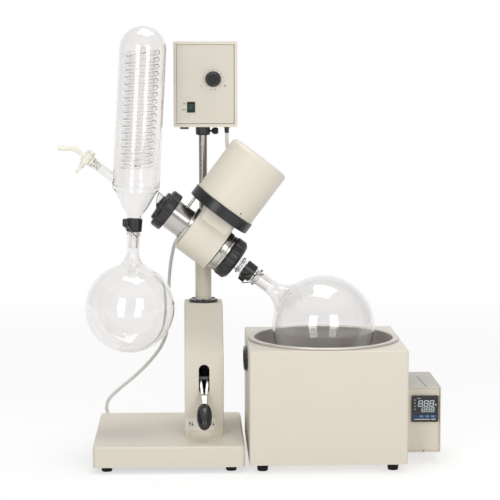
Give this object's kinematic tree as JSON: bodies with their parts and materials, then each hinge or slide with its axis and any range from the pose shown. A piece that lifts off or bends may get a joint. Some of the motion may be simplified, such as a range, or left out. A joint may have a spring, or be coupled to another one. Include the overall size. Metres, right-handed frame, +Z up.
{
  "type": "rotary_evaporator",
  "caption": "Bench rotary evaporator with a lever-raised mast, tilting drive head with spinning flask, heated water bath and upright coil condenser with receiving flask",
  "frame": {"origin": "Middle of the footprint, on the table, with the mains cord left out", "axes": "+X to the user's right, from the stand to the bath; +Y away from the user; +Z up"},
  "size_m": [0.691, 0.4003, 0.7882],
  "materials": {
    "beige_paint": "satin",
    "dark_steel": "satin",
    "black_paint": "satin",
    "bright_steel": "polished",
    "pan_steel": "satin",
    "black_plastic": "matte",
    "green_plastic": "gloss",
    "blue_plastic": "gloss",
    "rubber": "matte",
    "white_polymer": "matte",
    "clear_glass": "gloss",
    "spring_wire": "polished",
    "cord_sleeve": "matte"
  },
  "bodies": {
    "stand": {"base_shell": "beige_paint", "base_plate": "dark_steel", "rubber_feet": "rubber", "column_housing": "beige_paint", "column_flange": "black_paint", "lift_frame": "beige_paint", "bath_case": "beige_paint", "bath_pan": "pan_steel", "heater_and_probe": "bright_steel", "bath_handles": "black_plastic", "controller_case": "beige_paint", "controller_display": "black_plastic", "mains_cord": "cord_sleeve", "mains_cord_coil": "cord_sleeve", "mains_plug": "cord_sleeve"},
    "mast": {"mast_tube": "beige_paint", "lift_rack": "dark_steel", "head_clamp": "black_paint", "support_post": "bright_steel", "post_collar": "black_plastic", "control_box_shell": "beige_paint", "control_front_panel": "beige_paint", "rocker_frame": "black_plastic", "fuse_holder": "black_plastic", "cord_gland": "black_plastic"},
    "lever": {"lift_lever": "bright_steel", "lever_grip": "black_plastic", "lever_sector": "dark_steel"},
    "lift_gear": {"lift_pinion": "dark_steel"},
    "head": {"gearbox_housing": "beige_paint", "motor_ring": "black_plastic", "motor_cover": "beige_paint", "motor_stator": "dark_steel", "spindle_bearings": "bright_steel", "condenser_collar": "bright_steel", "vapour_seal": "white_polymer", "condenser_nut": "black_plastic", "bearing_cap": "bright_steel", "condenser_jacket": "clear_glass", "condenser_coil": "clear_glass", "feed_valve": "white_polymer", "receiving_clip": "black_plastic", "receiving_flask": "clear_glass"},
    "spindle": {"spindle_shaft": "bright_steel", "crown_wheel": "dark_steel", "flask_nut": "black_plastic", "vapour_tube": "clear_glass", "flask_clip": "black_plastic", "evaporating_flask": "clear_glass"},
    "rotor": {"motor_rotor": "dark_steel"},
    "speed_dial": {"speed_knob": "black_plastic"},
    "power_switch": {"power_rocker": "green_plastic"},
    "height_screw": {"collar_screw": "black_plastic"},
    "tilt_lock": {"tilt_knob": "black_plastic"},
    "stopcock": {"stopcock_key": "white_polymer"},
    "receiving_wire": {"receiving_bail": "spring_wire"},
    "flask_wire": {"flask_bail": "spring_wire"},
    "key_1": {"display_key_1": "blue_plastic"},
    "key_2": {"display_key_2": "blue_plastic"},
    "key_3": {"display_key_3": "blue_plastic"}
  },
  "joints": [
    {"name": "head_lift", "type": "slide", "parent": "stand", "child": "mast", "axis": [0, 0, 1], "range_m": [0, 0.11]},
    {"name": "lever_swing", "type": "hinge", "parent": "stand", "child": "lever", "pos_m": [-0.08248, -0.0406, 0.151], "axis": [-1, 0, 0], "range_deg": [0, 87.54]},
    {"name": "lift_gear_turn", "type": "hinge", "parent": "stand", "child": "lift_gear", "pos_m": [-0.08248, 0.0119, 0.151], "axis": [1, 0, 0], "range_deg": [0, 350.14]},
    {"name": "head_tilt", "type": "hinge", "parent": "mast", "child": "head", "pos_m": [-0.08248, -0.011, 0.4055], "axis": [0, 1, 0], "range_deg": [-7, 5]},
    {"name": "spindle_turn", "type": "hinge", "parent": "head", "child": "spindle", "pos_m": [-0.08248, -0.011, 0.4055], "axis": [0.7986, 0, -0.6018], "continuous": true},
    {"name": "motor_turn", "type": "hinge", "parent": "head", "child": "rotor", "pos_m": [-0.08648, -0.011, 0.40851], "axis": [0.6018, 0, 0.7986], "continuous": true},
    {"name": "speed_turn", "type": "hinge", "parent": "mast", "child": "speed_dial", "pos_m": [-0.06368, 0.0274, 0.6922], "axis": [0, -1, 0], "range_deg": [-270, 0]},
    {"name": "power_press", "type": "hinge", "parent": "mast", "child": "power_switch", "pos_m": [-0.10418, 0.0379, 0.641], "axis": [1, 0, 0], "range_deg": [-18, 0]},
    {"name": "height_screw_turn", "type": "hinge", "parent": "mast", "child": "height_screw", "pos_m": [-0.06948, 0.0574, 0.59675], "axis": [-1, 0, 0], "range_deg": [0, 180]},
    {"name": "tilt_lock_turn", "type": "hinge", "parent": "head", "child": "tilt_lock", "pos_m": [-0.08248, 0.0874, 0.4055], "axis": [0, -1, 0], "range_deg": [0, 90]},
    {"name": "stopcock_turn", "type": "hinge", "parent": "head", "child": "stopcock", "pos_m": [-0.29251, -0.011, 0.55019], "axis": [-0.6157, 0, -0.788], "range_deg": [0, 90]},
    {"name": "receiving_wire_swing", "type": "hinge", "parent": "head", "child": "receiving_wire", "pos_m": [-0.22465, -0.01695, 0.43319], "axis": [-0.3415, 0.9397, 0.0191], "range_deg": [0, 90]},
    {"name": "flask_wire_swing", "type": "hinge", "parent": "spindle", "child": "flask_wire", "pos_m": [-0.01228, -0.02224, 0.3325], "axis": [-0.3452, 0.8192, -0.4581], "range_deg": [0, 90]},
    {"name": "key_1_press", "type": "slide", "parent": "stand", "child": "key_1", "axis": [0, 1, 0], "range_m": [0, 0.0008], "stiffness_N_per_m": 900},
    {"name": "key_2_press", "type": "slide", "parent": "stand", "child": "key_2", "axis": [0, 1, 0], "range_m": [0, 0.0008], "stiffness_N_per_m": 900},
    {"name": "key_3_press", "type": "slide", "parent": "stand", "child": "key_3", "axis": [0, 1, 0], "range_m": [0, 0.0008], "stiffness_N_per_m": 900}
  ],
  "couplings": [
    {"joint": "lever_swing", "follows": "head_lift", "rad_per_m": 13.889},
    {"joint": "lift_gear_turn", "follows": "head_lift", "rad_per_m": 55.556},
    {"joint": "motor_turn", "follows": "spindle_turn", "ratio": 4}
  ]
}
